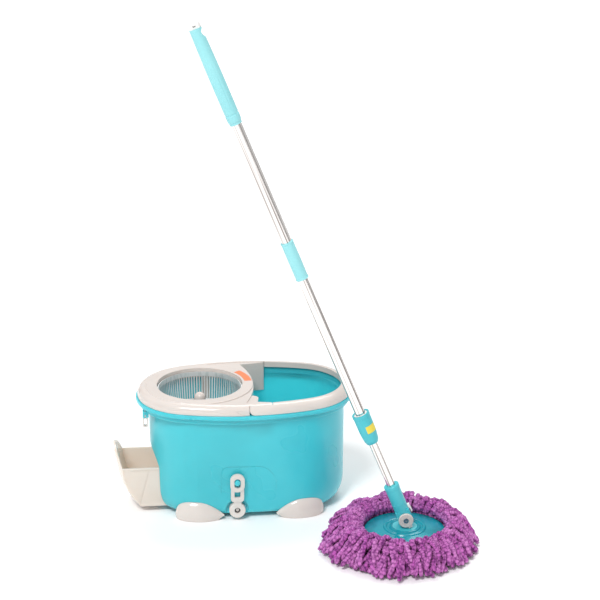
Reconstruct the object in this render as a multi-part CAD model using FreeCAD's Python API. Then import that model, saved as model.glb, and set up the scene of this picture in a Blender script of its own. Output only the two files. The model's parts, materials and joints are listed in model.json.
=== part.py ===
import FreeCAD, Part
import math
import os

# Spin mop set: an oval bucket with a hand-press spinner, and its mop standing beside it.
# Millimetres, +Z up. Every piece is built with the bucket's centre on the floor as zero, and is
# moved by SET_CENTRE as it is written, so that the whole set stands centred on the origin.

V = FreeCAD.Vector
X_AXIS = V(1, 0, 0)
Y_AXIS = V(0, 1, 0)
Z_AXIS = V(0, 0, 1)

SET_CENTRE = (90.5, -145.0)

# Bucket: an oval of four tangent arcs. RIM is half length, half width and end radius.
RIM = (221.0, 137.0, 122.0)
WALL = 2.8
FLOOR_Z = 9.5
RIM_TOP = 236.0
UPSTAND_TOP = 246.0
UPSTAND_INSET = 15.0
PAD_DEPTH = 2.2
# Height, centre x, half length, half width, end radius of the outside wall, bottom to top
BODY = (
    (FLOOR_Z, 3.0, 178.0, 97.0, 92.0),
    (14.0, 3.2, 186.0, 103.5, 98.5),
    (26.0, 4.0, 193.5, 108.0, 103.0),
    (60.0, 4.5, 198.2, 112.0, 106.0),
    (140.0, 4.5, 199.0, 117.0, 109.5),
    (203.0, 4.5, 199.0, 121.1, 111.6),
    (216.0, 4.5, 199.0, 122.0, 112.0),
    (229.0, 0.0, 206.0, 122.0, 107.0),
)

# Cream top parts, which share one rounded rim section
TOP_Z = 255.0
TOP_INSET = 3.0
TOP_ROUND = 15.0
SKIN = 2.6
HOLLOW_TOP = 246.9
BASKET_X = -91.0
OPENING_R = 87.0
RING_R = 109.0
RING_TOP = 256.0
PLATEAU = (251.0, 253.6)
WING_X = 48.0
ARM_X = 2.0
ARM_WIDTH = 9.0
PIVOT = (13.0, 247.5)
PIVOT_R = 11.0
PIN_R = 2.5
BOSS_Y = (115.0, 124.3)
SKIRT_Z = 192.0
ARM_ANGLES = (80.0, 200.0, 320.0)
ARM_REACH = 4.0
HUB_R = 17.0
HUB_Z = (136.0, 156.0)

# Feet: (distance from the tip, half height) along the pod, its length, width over height, turn in
# plan, where the tip stands, and how far the left pair stands nearer the middle
FOOT_OUTLINE = ((0.0, 1.5), (10.0, 9.0), (24.0, 20.5), (40.0, 29.0), (62.0, 32.0))
FOOT_LENGTH = 100.0
FOOT_WIDTH = 0.62
FOOT_TURN = 12.0
FOOT_TIP = V(56.0, -106.5, 10.0)
FOOT_SHIFT = 6.0

# Drawer, shown pulled out, and its pocket
DRAWER_HALF = 55.0
DRAWER_Z = (12.4, 97.0)
DRAWER_FRONT_X = -264.0
DRAWER_BACK_X = -132.0
DRAWER_TRAVEL = 68.0
DRAWER_PLAN_R = 156.0
DRAWER_FOOT = 34.0
DRAWER_BELLY = (11.0, 38.0)
LIP_TOP = 133.0
LIP_LEAN = 6.0
LIP_THICK = 5.0
DRAWER_WALL = 2.4
POCKET_GAP = 1.0

# Basket
BASKET_TOP = (84.5, 249.0)
BASKET_LOW = (78.0, 168.0)
SHEET = 1.0
SLOTS = 96
SLOT_Z = (192.0, 240.0)
SLOT_WIDTH = 2.6
SLOT_PAIR = 2
HOLE_ROW = (183.0, 2.5)
SPINDLE_R = 5.0
SPINDLE_Z = (128.0, 221.0)
POST_LOW = 170.2
POST_HEIGHT = 54.0
POST_CAP_R = 11.5
BUSH_LENGTH = 8.0
SCREW_RING_R = 20.0
SCREW_R = 1.6
RUNNING = 0.05

# Drain
DRAIN = (-23.5, 22.0)
DRAIN_SEAT_Y = -101.0
PLUG_FACE_Y = -114.0
WALL_LEAN = 5.6
STUD_Z = 88.0
STUD_TIP_Y = -126.0

# Side clip: pivot x, middle y and pivot z, then half width, thickness and lowest point
CLIP = (-203.5, -43.5, 210.0)
CLIP_R = 5.5
CLIP_THICK = 9.0
CLIP_LOW = 183.5
CLIP_PIN_R = 1.6
LUG = (2.4, 0.5)

# Mop: the pivot at its head, and how far the pole leans towards -X
MOP_PIVOT = V(294.0, -270.0, 68.0)
LEAN = 22.0
OUTER_TUBE_R = 9.8
TUBE_WALL = 0.8
INNER_TUBE_R = 8.25
SOCKET_TOP = 76.0
SLEEVE = (175.0, 240.0)
SLEEVE_FLUTES = 16
CONNECTOR = (537.0, 615.0)
GRIP_LOW = 863.0
TUBE_END = 1005.0
CAP_LOW = 1046.0
POLE_TOP = 1058.0
CAP_STEM = (6.0, 6.0)
CAP_FLAT = 8.5
HANG_HOLE = (3.0, 1052.0)
CHEEK = (8.5, 13.0)
FORK_R = 14.0
TONGUE_GAP = 0.1
DISC_R = 80.0
STRAND_R = 157.0
SPIRAL_LEAD = 90.0
ROD = (290.0, 520.0, 6.0, 1.6)
NUT_Z = 320.0

os.makedirs("parts", exist_ok=True)


def write(name, shape):
    """Move a piece to its place in the set and write it as one STEP file."""
    moved = shape.copy()
    moved.translate(V(-SET_CENTRE[0], -SET_CENTRE[1], 0))
    moved.exportStep(os.path.join("parts", name + ".step"))


def box(low, high):
    """Box between two corners."""
    size = [b - a for a, b in zip(low, high)]
    return Part.makeBox(size[0], size[1], size[2], V(*low))


def rod(radius, start, end):
    """Round bar between two points."""
    run = V(*end) - V(*start)
    return Part.makeCylinder(radius, run.Length, V(*start), run)


def pipe(outer, inner, z0, z1, x=0.0, y=0.0):
    """Upright tube."""
    solid = rod(outer, (x, y, z0), (x, y, z1))
    return solid.cut(rod(inner, (x, y, z0 - 1), (x, y, z1 + 1)))


def turned(points, x=0.0, y=0.0):
    """Solid turned about an upright axis from (radius, height) points."""
    wire = Part.makePolygon([V(x + r, y, z) for r, z in points] + [V(x + points[0][0], y, points[0][1])])
    return Part.Face(wire).revolve(V(x, y, 0), Z_AXIS, 360)


def oval_wire(z, centre_x, half_length, half_width, end_radius):
    """Oval outline at one height: two end arcs and two flatter side arcs, all tangent."""
    reach = half_length - end_radius
    side_radius = (reach**2 + half_width**2 - end_radius**2) / (2 * (half_width - end_radius))
    drop = side_radius - half_width
    tilt = math.atan2(drop, reach)
    tx = reach + end_radius * math.cos(tilt)
    ty = end_radius * math.sin(tilt)

    def at(x, y):
        return V(centre_x + x, y, z)

    arcs = (
        Part.Arc(at(tx, -ty), at(half_length, 0), at(tx, ty)),
        Part.Arc(at(tx, ty), at(0, half_width), at(-tx, ty)),
        Part.Arc(at(-tx, ty), at(-half_length, 0), at(-tx, -ty)),
        Part.Arc(at(-tx, -ty), at(0, -half_width), at(tx, -ty)),
    )
    return Part.Wire([arc.toShape() for arc in arcs])


def rim_prism(inset, z0, z1):
    """Upright oval slab, a given distance inside the rim's outline."""
    wire = oval_wire(z0, 0.0, RIM[0] - inset, RIM[1] - inset, RIM[2] - inset)
    return Part.Face(wire).extrude(V(0, 0, z1 - z0))


def rim_band(outer_inset, inner_inset, z0, z1):
    """Oval ring between two insets."""
    return rim_prism(outer_inset, z0, z1).cut(rim_prism(inner_inset, z0 - 1, z1 + 1))


def body_loft(inset, lift):
    """Solid inside the bucket's wall; lift raises its underside."""
    wires = []
    for z, centre, half_length, half_width, end_radius in BODY:
        height = max(z, FLOOR_Z + lift) if z == FLOOR_Z else z
        wires.append(oval_wire(height, centre, half_length - inset, half_width - inset, end_radius - inset))
    return Part.makeLoft(wires, True, False)


def around_basket(shape, angle):
    """Turn a shape about zero, then move it to the basket's axis."""
    shape.rotate(V(0, 0, 0), Z_AXIS, angle)
    shape.translate(V(BASKET_X, 0, 0))
    return shape


def edges_at(solid, z):
    """Edges that lie flat at one height."""
    found = []
    for edge in solid.Edges:
        if abs(edge.BoundBox.ZMin - z) < 0.01 and abs(edge.BoundBox.ZMax - z) < 0.01:
            found.append(edge)
    return found


def arch_face(half, z_low, z_side, z_top, x):
    """Upright face across the bucket: straight sides under a round top."""
    wire = Part.Wire([
        Part.makeLine(V(x, -half, z_low), V(x, half, z_low)),
        Part.makeLine(V(x, half, z_low), V(x, half, z_side)),
        Part.Arc(V(x, half, z_side), V(x, 0, z_top), V(x, -half, z_side)).toShape(),
        Part.makeLine(V(x, -half, z_side), V(x, -half, z_low)),
    ])
    return Part.Face(wire)


# ---- Bucket shell: single wall, stepped rim, drawer pocket, drain seat, hinge lugs ----

def drawer_pocket(grow):
    """Space for the drawer, with a round-topped niche for its lip at the mouth."""
    half = DRAWER_HALF + POCKET_GAP + grow
    back = DRAWER_BACK_X + DRAWER_TRAVEL + 4.0 + grow
    top = DRAWER_Z[1] + 1.4 + grow
    low = FLOOR_Z + 2.5 - grow
    main = box((-215, -half, low), (back, half, top))
    niche = arch_face(half, 60.0, top, LIP_TOP + 1.6 + grow, -215).extrude(V(215 - 168 + grow, 0, 0))
    return main.fuse(niche)


def panel_groove():
    """Shallow moulded outline on the front wall above the drain."""
    left, right, low, top = -56.0, 56.0, 63.0, 120.0
    small, large = 15.0, 40.0

    def outline(inset):
        a, b, c = left + inset, right - inset, top - inset
        s, g = small - inset, large - inset
        k = math.sqrt(0.5)
        return Part.Face(Part.Wire([
            Part.makeLine(V(a, -140, low), V(a, -140, c - s)),
            Part.Arc(V(a, -140, c - s), V(a + s - s * k, -140, c - s + s * k), V(a + s, -140, c)).toShape(),
            Part.makeLine(V(a + s, -140, c), V(b - g, -140, c)),
            Part.Arc(V(b - g, -140, c), V(b - g + g * k, -140, c - g + g * k), V(b, -140, c - g)).toShape(),
            Part.makeLine(V(b, -140, c - g), V(b, -140, low)),
            Part.makeLine(V(b, -140, low), V(a, -140, low)),
        ]))

    ring = outline(0.0).extrude(V(0, 60, 0)).cut(outline(1.6).extrude(V(0, 60, 0)))
    ring = ring.cut(box((left + 1.6, -141, low - 1), (right - 1.6, -79, low + 1.6)))
    return ring.cut(body_loft(0.9, 0.0))


def make_bucket():
    outside = body_loft(0.0, 0.0)
    inside = body_loft(WALL, WALL)
    outer_bead = rim_prism(0.0, 227.0, RIM_TOP)
    outer_bead = outer_bead.makeFillet(2.0, edges_at(outer_bead, 227.0) + edges_at(outer_bead, RIM_TOP))
    outer_bead = outer_bead.cut(rim_band(SKIN, 8.0, 226.0, 233.4))
    inner_bead = rim_prism(8.0, 216.0, 234.0)
    inner_bead = inner_bead.makeFillet(1.8, edges_at(inner_bead, 216.0))
    inner_bead = inner_bead.cut(rim_band(8.0 + SKIN, UPSTAND_INSET, 215.0, 233.4))
    upstand = rim_prism(UPSTAND_INSET, 228.0, UPSTAND_TOP)
    shell = outside.fuse([outer_bead, inner_bead, upstand])

    inner_top = rim_prism(UPSTAND_INSET + WALL, BODY[-1][0], UPSTAND_TOP + 1)
    hollow = inside.fuse(inner_top)
    walls = drawer_pocket(WALL - 0.2).fuse(rod(27.0, (DRAIN[0], -115, DRAIN[1]), (DRAIN[0], -98, DRAIN[1])))
    shell = shell.cut(hollow.cut(walls))
    pad = box((190.0, -13.0, 205.0), (215.0, 13.0, 243.0)).cut(rod(60.0, (258.0, -20, 190), (258.0, 20, 190)))
    deep = WALL + PAD_DEPTH
    clear = body_loft(deep, WALL).fuse(rim_prism(UPSTAND_INSET + deep, BODY[-1][0] - 0.5, UPSTAND_TOP))
    shell = shell.fuse(pad.common(hollow).cut(clear))
    shell = shell.cut(drawer_pocket(0.0))

    x, z = DRAIN
    shell = shell.cut(rod(23.5, (x, -140, z), (x, DRAIN_SEAT_Y, z)))
    shell = shell.cut(rod(8.3, (x, -120, z), (x, -90, z)))
    for y in (-129, 112):
        shell = shell.cut(box((ARM_X, y, 240), (PIVOT[0] + PIVOT_R, y + 17, UPSTAND_TOP + 1)))
    shell = shell.cut(panel_groove())

    stud_tip = (x, STUD_TIP_Y, STUD_Z)
    stud = rod(4.5, (x, STUD_TIP_Y + 18, STUD_Z), stud_tip)
    head = rod(5.6, (x, STUD_TIP_Y + 2.6, STUD_Z), stud_tip)
    shell = shell.fuse(stud.fuse(head).cut(body_loft(0.5, 0.0)))
    clip_x, clip_y, clip_z = CLIP
    thick, gap = LUG
    for side in (-1, 1):
        near = clip_y + side * (CLIP_THICK / 2 + gap)
        far = near + side * thick
        lug = box((clip_x - 5, min(near, far), clip_z - 4), (clip_x + 7, max(near, far), 218.0))
        shell = shell.fuse(lug)
    pin_hole = rod(CLIP_PIN_R, (clip_x, clip_y - 10, clip_z), (clip_x, clip_y + 10, clip_z))
    return shell.cut(pin_hole).removeSplitter()


# ---- Feet: teardrop pods under the four corners, flat below ----

def make_foot(side_x, side_y):
    """Pod turned about its long axis, flattened, cut off level with the floor and round the bucket."""
    points = [V(x, 0, r) for x, r in FOOT_OUTLINE]
    curve = Part.BSplineCurve()
    curve.interpolate(Points=points, InitialTangent=V(1, 0, 0.6), FinalTangent=V(1, 0, 0))
    widest = points[-1]
    heel = V(FOOT_LENGTH, 0, 0)
    ellipse = Part.Ellipse(heel, widest, V(widest.x, 0, 0))
    profile = Part.Wire([
        curve.toShape(),
        Part.ArcOfEllipse(ellipse, 0, math.pi / 2).toShape(),
        Part.makeLine(heel, V(0, 0, 0)),
        Part.makeLine(V(0, 0, 0), points[0]),
    ])
    pod = Part.Face(profile).revolve(V(0, 0, 0), X_AXIS, 360)
    squash = FreeCAD.Matrix()
    squash.scale(1.0, FOOT_WIDTH, 1.0)
    pod = pod.transformGeometry(squash)
    pod.rotate(V(0, 0, 0), Z_AXIS, FOOT_TURN)
    pod.translate(FOOT_TIP)
    pod = pod.cut(box((0, -RIM[1], -40), (RIM[0], 0, 0)))
    if side_x < 0:
        pod = pod.mirror(V(0, 0, 0), X_AXIS)
        pod.translate(V(FOOT_SHIFT, 0, 0))
    if side_y > 0:
        pod = pod.mirror(V(0, 0, 0), Y_AXIS)
    return pod.cut(body_loft(0.0, 0.0))


# ---- Spinner insert: rounded flange, ring, splash walls and the arms that hold the spindle ----

def top_section(z_low):
    """Rounded slab that the insert and the handle are both cut from."""
    slab = rim_prism(TOP_INSET, z_low, TOP_Z)
    return slab.makeFillet(TOP_ROUND, edges_at(slab, TOP_Z))


def insert_plan(offset):
    """Plan of the covered side of the bucket; offset moves its right edge inwards."""
    edge = WING_X - offset
    near = (-3.0 - offset, 105.0 + offset)
    wing_y = 113.0 + offset
    wire = Part.Wire([
        Part.makeLine(V(-260, -160, 0), V(edge, -160, 0)),
        Part.makeLine(V(edge, -160, 0), V(edge, -wing_y, 0)),
        Part.makeLine(V(edge, -wing_y, 0), V(near[0], -near[1], 0)),
        Part.Arc(V(near[0], -near[1], 0), V(18.0 - offset, 0, 0), V(near[0], near[1], 0)).toShape(),
        Part.makeLine(V(near[0], near[1], 0), V(edge, wing_y, 0)),
        Part.makeLine(V(edge, wing_y, 0), V(edge, 160, 0)),
        Part.makeLine(V(edge, 160, 0), V(-260, 160, 0)),
        Part.makeLine(V(-260, 160, 0), V(-260, -160, 0)),
    ])
    return Part.Face(wire)


def insert_region(offset, z0, z1):
    face = insert_plan(offset)
    face.translate(V(0, 0, z0))
    return face.extrude(V(0, 0, z1 - z0))


def make_insert():
    flange = top_section(RIM_TOP + 0.3)
    flange = flange.cut(rim_prism(TOP_INSET + SKIN, RIM_TOP, HOLLOW_TOP))
    flange = flange.cut(rim_prism(21.0, HOLLOW_TOP - 0.1, PLATEAU[0]))
    flange = flange.cut(rim_prism(21.0, PLATEAU[1], TOP_Z + 1))
    flange = flange.fuse(rim_band(19.0, 21.0 + 0.4, 243.5, HOLLOW_TOP + 0.5))
    insert = flange.common(insert_region(0.0, 180, 260))

    skirt = insert_region(0.0, SKIRT_Z, PLATEAU[1]).cut(insert_region(2.4, SKIRT_Z - 1, PLATEAU[1] + 1))
    skirt = skirt.common(rim_prism(21.0, SKIRT_Z, PLATEAU[1]))
    insert = insert.fuse(skirt)

    ring = rod(RING_R, (BASKET_X, 0, PLATEAU[0]), (BASKET_X, 0, RING_TOP))
    ring = ring.makeFillet(1.6, edges_at(ring, RING_TOP))
    ring = ring.common(rim_prism(TOP_INSET + 12.0, PLATEAU[0], RING_TOP))
    collar = pipe(OPENING_R + SKIN, OPENING_R, 236.0, 252.0, BASKET_X)
    insert = insert.fuse([ring, collar])
    mouth = rod(OPENING_R, (BASKET_X, 0, 230), (BASKET_X, 0, RING_TOP + 1))
    insert = insert.cut(mouth)

    low, high = HUB_Z
    outside = OPENING_R + ARM_REACH
    for angle in ARM_ANGLES:
        strip = box((OPENING_R + 0.2, -7, low + 10), (outside, 7, PLATEAU[0] + 0.5))
        spoke = box((10, -6, low + 10), (outside, 6, low + 15))
        rib = box((10, -2, low + 2), (OPENING_R - ARM_REACH, 2, low + 11))
        insert = insert.fuse(around_basket(strip.fuse([spoke, rib]), angle))
    insert = insert.fuse(rod(HUB_R, (BASKET_X, 0, low), (BASKET_X, 0, high)))
    insert = insert.cut(rod(SPINDLE_R, (BASKET_X, 0, low - 1), (BASKET_X, 0, high + 1)))

    # front wing: a lower lobe that steps down from the ring to the handle's pivot
    lobe = Part.Face(Part.Wire([
        Part.makeLine(V(-10, -96, 0), V(4, -66, 0)),
        Part.Arc(V(4, -66, 0), V(20, -69, 0), V(23, -78, 0)).toShape(),
        Part.makeLine(V(23, -78, 0), V(20, -98, 0)),
        Part.makeLine(V(20, -98, 0), V(47, -103, 0)),
        Part.makeLine(V(47, -103, 0), V(47, -116, 0)),
        Part.makeLine(V(47, -116, 0), V(-10, -110, 0)),
        Part.makeLine(V(-10, -110, 0), V(-10, -96, 0)),
    ]))
    lobe.translate(V(0, 0, 247.5))
    insert = insert.fuse(lobe.extrude(V(0, 0, 4.0)))

    for y in (-BOSS_Y[1], BOSS_Y[0]):
        boss = box((PIVOT[0] - 8, y, 241), (PIVOT[0] + 8, y + BOSS_Y[1] - BOSS_Y[0], 252))
        insert = insert.fuse(boss)
    notch = rim_band(0.0, TOP_INSET + ARM_WIDTH + 0.4, RIM_TOP, TOP_Z + 1)
    insert = insert.cut(notch.common(box((ARM_X - 0.5, -150, 230), (260, 150, 260))))
    for side in (-1, 1):
        bore = rod(PIN_R, (PIVOT[0], side * 129, PIVOT[1]), (PIVOT[0], side * (BOSS_Y[0] + 1), PIVOT[1]))
        insert = insert.cut(bore)

    # bracket: the flange's outer face is stepped back beside each arm, along an S-shaped edge
    step = rim_band(0.0, TOP_INSET + 1.5, RIM_TOP, TOP_Z + 1)
    edge = Part.Face(Part.Wire([
        Part.Arc(V(-43, -150, 256), V(-31, -150, 251), V(-22, -150, 243)).toShape(),
        Part.Arc(V(-22, -150, 243), V(-14, -150, 238.5), V(-4, -150, 236)).toShape(),
        Part.makeLine(V(-4, -150, 236), V(5, -150, 236)),
        Part.makeLine(V(5, -150, 236), V(5, -150, 256)),
        Part.makeLine(V(5, -150, 256), V(-43, -150, 256)),
    ])).extrude(V(0, 300, 0))
    insert = insert.cut(step.common(edge))
    inlay_seat = ring_inlay(0.15)
    return insert.cut(inlay_seat).removeSplitter()


def ring_inlay(grow):
    """Segment of a shallow ring, let into the top of the spinner ring."""
    low_r, high_r = 92.0 - grow, 106.5 + grow
    start = math.radians(4.0 - grow)
    end = math.radians(37.0 + grow)
    middle = (start + end) / 2

    def at(radius, angle):
        return V(BASKET_X + radius * math.cos(angle), radius * math.sin(angle), RING_TOP - 1.2)

    wire = Part.Wire([
        Part.makeLine(at(low_r, start), at(high_r, start)),
        Part.Arc(at(high_r, start), at(high_r, middle), at(high_r, end)).toShape(),
        Part.makeLine(at(high_r, end), at(low_r, end)),
        Part.Arc(at(low_r, end), at(low_r, middle), at(low_r, start)).toShape(),
    ])
    return Part.Face(wire).extrude(V(0, 0, 1.5))


# ---- Carry handle: a channel that lies on the open half of the rim and swings up on two pins ----

def make_handle():
    section = top_section(RIM_TOP + 0.6)
    bow = section.cut(rim_prism(22.0, 230, 260))
    bow = bow.cut(rim_band(TOP_INSET + SKIN, 22.0 - SKIN, 230, HOLLOW_TOP))
    bow = bow.cut(rim_band(22.0 - SKIN - 0.1, 23.0, 230, 243.5))
    bow = bow.common(box((WING_X + 1.2, -150, 230), (240, 150, 260)))
    arms = section.cut(rim_prism(TOP_INSET + ARM_WIDTH, 230, 260))
    arms = arms.common(box((PIVOT[0], -150, 230), (WING_X + 6, 150, 260)).fuse(
        rod(PIVOT_R - 0.05, (PIVOT[0], -150, PIVOT[1]), (PIVOT[0], 150, PIVOT[1]))))
    handle = bow.fuse(arms)
    for side in (-1, 1):
        bore = rod(PIN_R + RUNNING, (PIVOT[0], side * 120, PIVOT[1]), (PIVOT[0], side * 128.6, PIVOT[1]))
        handle = handle.cut(bore)
    return handle.removeSplitter()


def make_handle_pins():
    pins = [rod(PIN_R, (PIVOT[0], s * 116.2, PIVOT[1]), (PIVOT[0], s * 128.2, PIVOT[1])) for s in (-1, 1)]
    return Part.makeCompound(pins)


# ---- Drawer: a tray with a bowed front that rises to a finger lip ----

def drawer_solid(inset, z_low, z_high):
    """Filled drawer, its front bowed in plan and curved under at the foot."""
    r = DRAWER_PLAN_R - inset
    axis_x = DRAWER_FRONT_X + DRAWER_PLAN_R
    front = axis_x - r
    belly, belly_z = DRAWER_BELLY
    foot, brow = V(front + DRAWER_FOOT, 0, z_low), V(front, 0, z_high)
    profile = Part.Wire([
        Part.makeLine(V(axis_x, 0, z_low), foot),
        Part.Arc(foot, V(front + belly, 0, z_low + belly_z), brow).toShape(),
        Part.makeLine(brow, V(axis_x, 0, z_high)),
        Part.makeLine(V(axis_x, 0, z_high), V(axis_x, 0, z_low)),
    ])
    solid = Part.Face(profile).revolve(V(axis_x, 0, 0), Z_AXIS, 360)
    half = DRAWER_HALF - inset
    return solid.common(box((-300, -half, z_low), (DRAWER_BACK_X - inset, half, z_high)))


def make_drawer():
    inner_low = DRAWER_Z[0] + DRAWER_WALL
    tray = drawer_solid(0.0, *DRAWER_Z).cut(drawer_solid(DRAWER_WALL, inner_low, DRAWER_Z[1] + 5))
    front = DRAWER_FRONT_X
    low, high = DRAWER_Z[1] - 4.0, LIP_TOP
    bend = front - LIP_LEAN * 0.7
    out_low, out_high = V(front + 0.4, 0, low), V(front - LIP_LEAN, 0, high)
    in_low, in_high = V(front + DRAWER_WALL, 0, low), V(front - LIP_LEAN + LIP_THICK, 0, high)
    lip_face = Part.Face(Part.Wire([
        Part.Arc(out_low, V(bend, 0, low + 20), out_high).toShape(),
        Part.makeLine(out_high, in_high),
        Part.Arc(in_high, V(bend + LIP_THICK - 1, 0, low + 20), in_low).toShape(),
        Part.makeLine(in_low, out_low),
    ]))
    lip = lip_face.revolve(V(front + DRAWER_PLAN_R, 0, 0), Z_AXIS, 360)
    arch = arch_face(DRAWER_HALF, low, DRAWER_Z[1], LIP_TOP + 0.2, -300).extrude(V(100, 0, 0))
    drawer = tray.fuse(lip.common(arch))
    # two shallow lines on each side: one leaning, one along the top
    line_y = DRAWER_HALF - 0.8
    core = box((-300, -line_y, 0), (-100, line_y, 120))
    for side in (-1, 1):
        line = box((-1.0, -1, -50), (1.0, 1, 50))
        line.rotate(V(0, 0, 0), Y_AXIS, 15)
        line.translate(V(-209, side * DRAWER_HALF, 56))
        rail = box((-236, -1, 91.2), (DRAWER_BACK_X, 1, 92.4))
        rail.translate(V(0, side * DRAWER_HALF, 0))
        drawer = drawer.cut(line.fuse(rail).cut(core))
    return drawer.removeSplitter()


# ---- Basket and its spindle ----

def make_basket_wall():
    """Sheet cone with a rolled top hem, a row of slots and a row of round holes."""
    (top_r, top_z), (low_r, low_z) = BASKET_TOP, BASKET_LOW
    wall = turned([(low_r, low_z), (top_r, top_z - 4), (top_r + 1.2, top_z - 3), (top_r + 1.2, top_z),
                   (top_r - 0.6, top_z), (top_r - SHEET, top_z - 3), (low_r - SHEET, low_z)], BASKET_X)
    hole_z, hole_r = HOLE_ROW
    cutters = []
    for i in range(SLOTS):
        angle = 360.0 * i / SLOTS
        slot = box((70, -SLOT_WIDTH / 2, SLOT_Z[0]), (92, SLOT_WIDTH / 2, SLOT_Z[1]))
        cutters.append(around_basket(slot, angle))
        if i % SLOT_PAIR == 0:
            cutters.append(around_basket(rod(hole_r, (70, 0, hole_z), (92, 0, hole_z)), angle))
    return wall.cut(cutters)


def make_basket_base():
    low_r, low_z = BASKET_LOW
    base = turned([(9, low_z + 1), (40, low_z - 1), (low_r - SHEET, low_z), (low_r - SHEET, low_z + 6),
                   (low_r - 2 * SHEET, low_z + 6), (low_r - 2 * SHEET - 1, low_z + SHEET),
                   (40, low_z - 1 + SHEET), (9, low_z + 1 + SHEET)], BASKET_X)
    holes = []
    for radius, count in ((48, 12), (62, 16)):
        for i in range(count):
            holes.append(around_basket(rod(3.2, (radius, 0, 160), (radius, 0, 175)), 360.0 * i / count))
    return base.cut(holes + screw_set(SCREW_R, 160, 175))


def screw_set(radius, low, high):
    """Three upright rods on the ring where the post is screwed to the base."""
    rods = []
    for i in range(3):
        upright = rod(radius, (SCREW_RING_R, 0, low), (SCREW_RING_R, 0, high))
        rods.append(around_basket(upright, 120.0 * i))
    return rods


def make_basket_post():
    """Hollow cone that turns on the spindle."""
    low, high = POST_LOW, POST_LOW + POST_HEIGHT
    post = turned([(8, low), (27, low), (27, low + 4), (18, low + 14), (13.5, low + 30), (POST_CAP_R, high),
                   (8, high)], BASKET_X)
    return post.cut(screw_set(SCREW_R, 160, low + 8))


def make_post_cap():
    """Ball-topped cap that plugs the post."""
    low = POST_LOW + POST_HEIGHT
    dome = Part.makeSphere(POST_CAP_R, V(BASKET_X, 0, low + 1.5)).cut(box((-130, -30, 200), (-50, 30, low)))
    skirt = pipe(7.9, 7.2, low - 4, low + 0.5, BASKET_X)
    return dome.fuse(skirt)


def make_post_screws():
    shanks = screw_set(SCREW_R, 163, 177)
    heads = screw_set(3.0, 163, 165.4)
    return Part.makeCompound([shank.fuse(head) for shank, head in zip(shanks, heads)])


def make_bushes():
    starts = (POST_LOW, POST_LOW + 38)
    rings = [pipe(8.0, SPINDLE_R + RUNNING, z, z + BUSH_LENGTH, BASKET_X) for z in starts]
    return Part.makeCompound(rings)


# ---- Drain plug: disc, stem and the looped strap that hooks on the stud ----

def rounded_slab(half_width, z0, z1, radius, y0, y1):
    """Plate across Y with four rounded corners."""
    slab = box((-half_width, y0, z0), (half_width, y1, z1))
    corners = [edge for edge in slab.Edges if abs(edge.BoundBox.YLength - (y1 - y0)) < 0.01]
    return slab.makeFillet(radius, corners)


def front_edge(solid, y):
    """Edges that lie flat at one Y."""
    found = []
    for edge in solid.Edges:
        if abs(edge.BoundBox.YMin - y) < 0.01 and abs(edge.BoundBox.YMax - y) < 0.01:
            found.append(edge)
    return found


def make_plug():
    x, z = DRAIN
    disc = rod(16.5, (0, DRAIN_SEAT_Y - 0.4, z), (0, PLUG_FACE_Y, z))
    disc = disc.makeFillet(2.0, front_edge(disc, PLUG_FACE_Y))
    stem = rod(8.0, (0, DRAIN_SEAT_Y - 1, z), (0, -95, z))
    middle = rounded_slab(13.2, 43, 76, 7.0, -117.0, -112.6)
    middle = middle.cut(rounded_slab(6.0, 53, 68, 3.0, -118, -110))
    top = rounded_slab(14.4, 67.0, 107.5, 14.0, -119.0, -114.4)
    top = top.cut(rounded_slab(6.4, 76, 97.0, 6.0, -120, -110))
    neck = box((-8, -115.5, 30), (8, -111.4, 50))
    strap = middle.fuse([top, neck])
    strap.rotate(V(0, -112.0, 40), X_AXIS, WALL_LEAN)
    plug = disc.fuse([stem, strap])
    plug = plug.cut(rod(6.2, (0, -122, z), (0, -109.5, z)))
    plug.translate(V(x, 0, 0))
    return plug


# ---- Side clip: a short looped strip that hangs from two lugs under the rim ----

def upright_loop(radius, low, high):
    """Stadium plate across the clip's thickness, its ends round about two heights."""
    x, y, _ = CLIP
    near, far = y - CLIP_THICK / 2, y + CLIP_THICK / 2
    plate = box((x - radius, near, low), (x + radius, far, high))
    ends = [rod(radius, (x, near, z), (x, far, z)) for z in (low, high)]
    return plate.fuse(ends)


def make_clip():
    x, y, z = CLIP
    clip = upright_loop(CLIP_R, CLIP_LOW + CLIP_R, z).cut(upright_loop(2.4, CLIP_LOW + CLIP_R, z - 9.0))
    return clip.cut(rod(CLIP_PIN_R + RUNNING, (x, y - 10, z), (x, y + 10, z))).removeSplitter()


# ---- Mop: built upright with its pivot at zero, then leaned and moved to its place ----

def place(shape):
    shape = shape.copy()
    shape.rotate(V(0, 0, 0), Y_AXIS, -LEAN)
    shape.translate(MOP_PIVOT)
    return shape


def make_hang_cap():
    """Domed plug in the grip's top, with two flats and the hanging hole between them."""
    low, top = CAP_LOW, POLE_TOP
    stem_r, stem = CAP_STEM
    cap = turned([(0, low - stem), (stem_r, low - stem), (stem_r, low), (11.3, low), (11.6, low + 2),
                  (11.0, top - 4), (8.5, top - 1), (4.0, top), (0, top)])
    slice_box = box((-20, -CAP_FLAT, low - stem), (20, CAP_FLAT, top))
    hole_r, hole_u = HANG_HOLE
    return cap.common(slice_box).cut(rod(hole_r, (0, -20, hole_u), (0, 20, hole_u)))


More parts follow.
